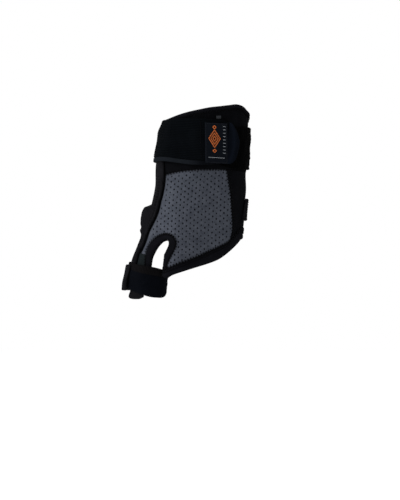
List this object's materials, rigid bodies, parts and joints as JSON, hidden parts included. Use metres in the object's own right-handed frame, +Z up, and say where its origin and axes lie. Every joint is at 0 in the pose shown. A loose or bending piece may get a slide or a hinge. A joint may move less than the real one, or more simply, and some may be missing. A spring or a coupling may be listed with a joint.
{
  "type": "thumb spica splint",
  "caption": "Left-hand wrist and thumb splint: padded sleeve with an opening for the thumb, closed by straps at the wrist, palm and thumb.",
  "frame": {"origin": "middle of the hollow at the wrist, where the splint sits on the forearm", "axes": "+Z up the forearm, fingers pointing down to -Z, back of the hand facing -Y, thumb on the -X side"},
  "size_m": [0.1161, 0.0758, 0.1744],
  "materials": {
    "grey_mesh": "soft foam-backed cloth, evenly perforated",
    "black_knit": "fine matt knit",
    "binding": "ribbed elastic binding with zigzag stitches",
    "webbing": "woven ribbed webbing",
    "elastic": "wide woven elastic with fine cross ribs",
    "grey_strip": "lighter woven edge strip",
    "navy_loop": "brushed loop fabric, blue-black",
    "black_loop": "deep pile loop fabric",
    "patch": null,
    "tag": "light grey woven tape"
  },
  "bodies": {
    "root": {"mesh_panel": "grey_mesh", "ulnar_panel": "black_knit", "palm_panel": "black_knit", "thenar_panel": "black_knit", "cuff_panel": "black_knit", "cuff_binding": "binding", "distal_binding": "binding", "thumb_opening_binding": "binding", "radial_stay_pocket": "webbing", "wrist_strap": "elastic", "wrist_strap_edge": "grey_strip", "wrist_strap_tab": "navy_loop", "ulnar_loop_panel": "black_loop", "label_patch": "patch", "cuff_tag": "tag", "palm_strap": "webbing", "thumb_strap": "navy_loop", "thumb_strap_fold": "webbing", "thumb_strap_end": "webbing", "tongue_end_tape": "webbing"}
  },
  "joints": []
}
